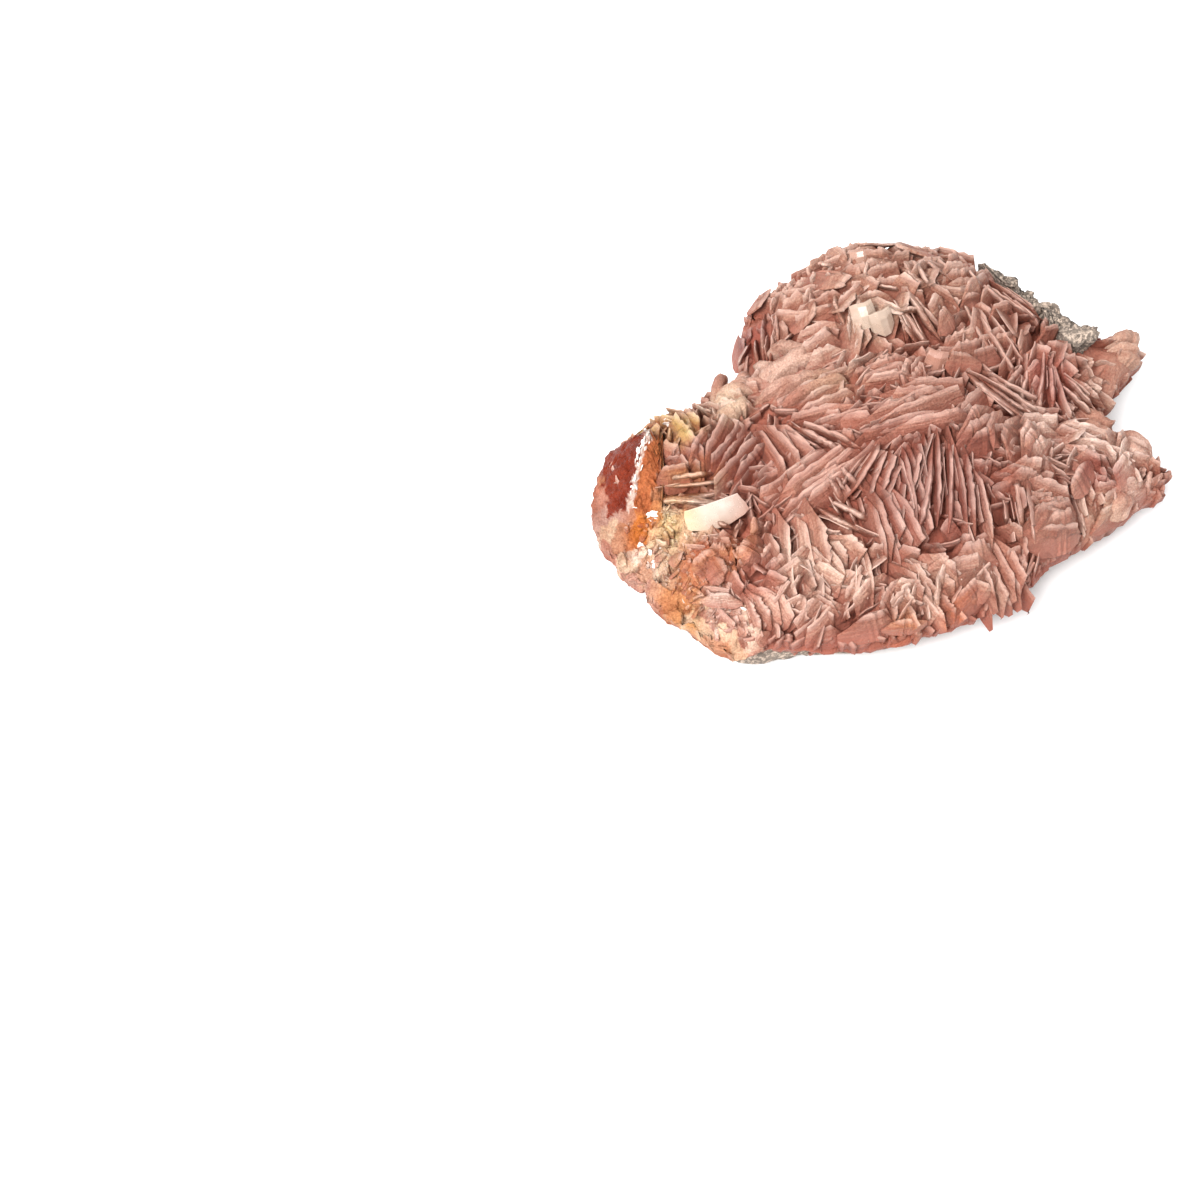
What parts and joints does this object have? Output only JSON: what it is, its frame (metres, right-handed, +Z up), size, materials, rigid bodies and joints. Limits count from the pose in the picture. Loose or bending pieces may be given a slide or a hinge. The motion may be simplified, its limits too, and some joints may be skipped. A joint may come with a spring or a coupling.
{
  "type": "barite crystal cluster on matrix",
  "caption": "Hand specimen of a natural mineral: a crust of crested barite blades grown together on a lumpy piece of host rock with a flat cut to rest on.",
  "frame": {"origin": "on the resting plane, under the middle of the specimen's box", "axes": "+Z up from the flat cut through the crust, +X along the specimen's long way towards its right arm, +Y towards the lobe at its back"},
  "size_m": [0.1074, 0.0904, 0.029],
  "materials": {
    "barite": "waxy, slightly translucent salmon pink",
    "host_rock": "dull grey brown, pitted"
  },
  "bodies": {
    "root": {"barite_blades": "barite", "host_rock": "host_rock"}
  },
  "joints": []
}
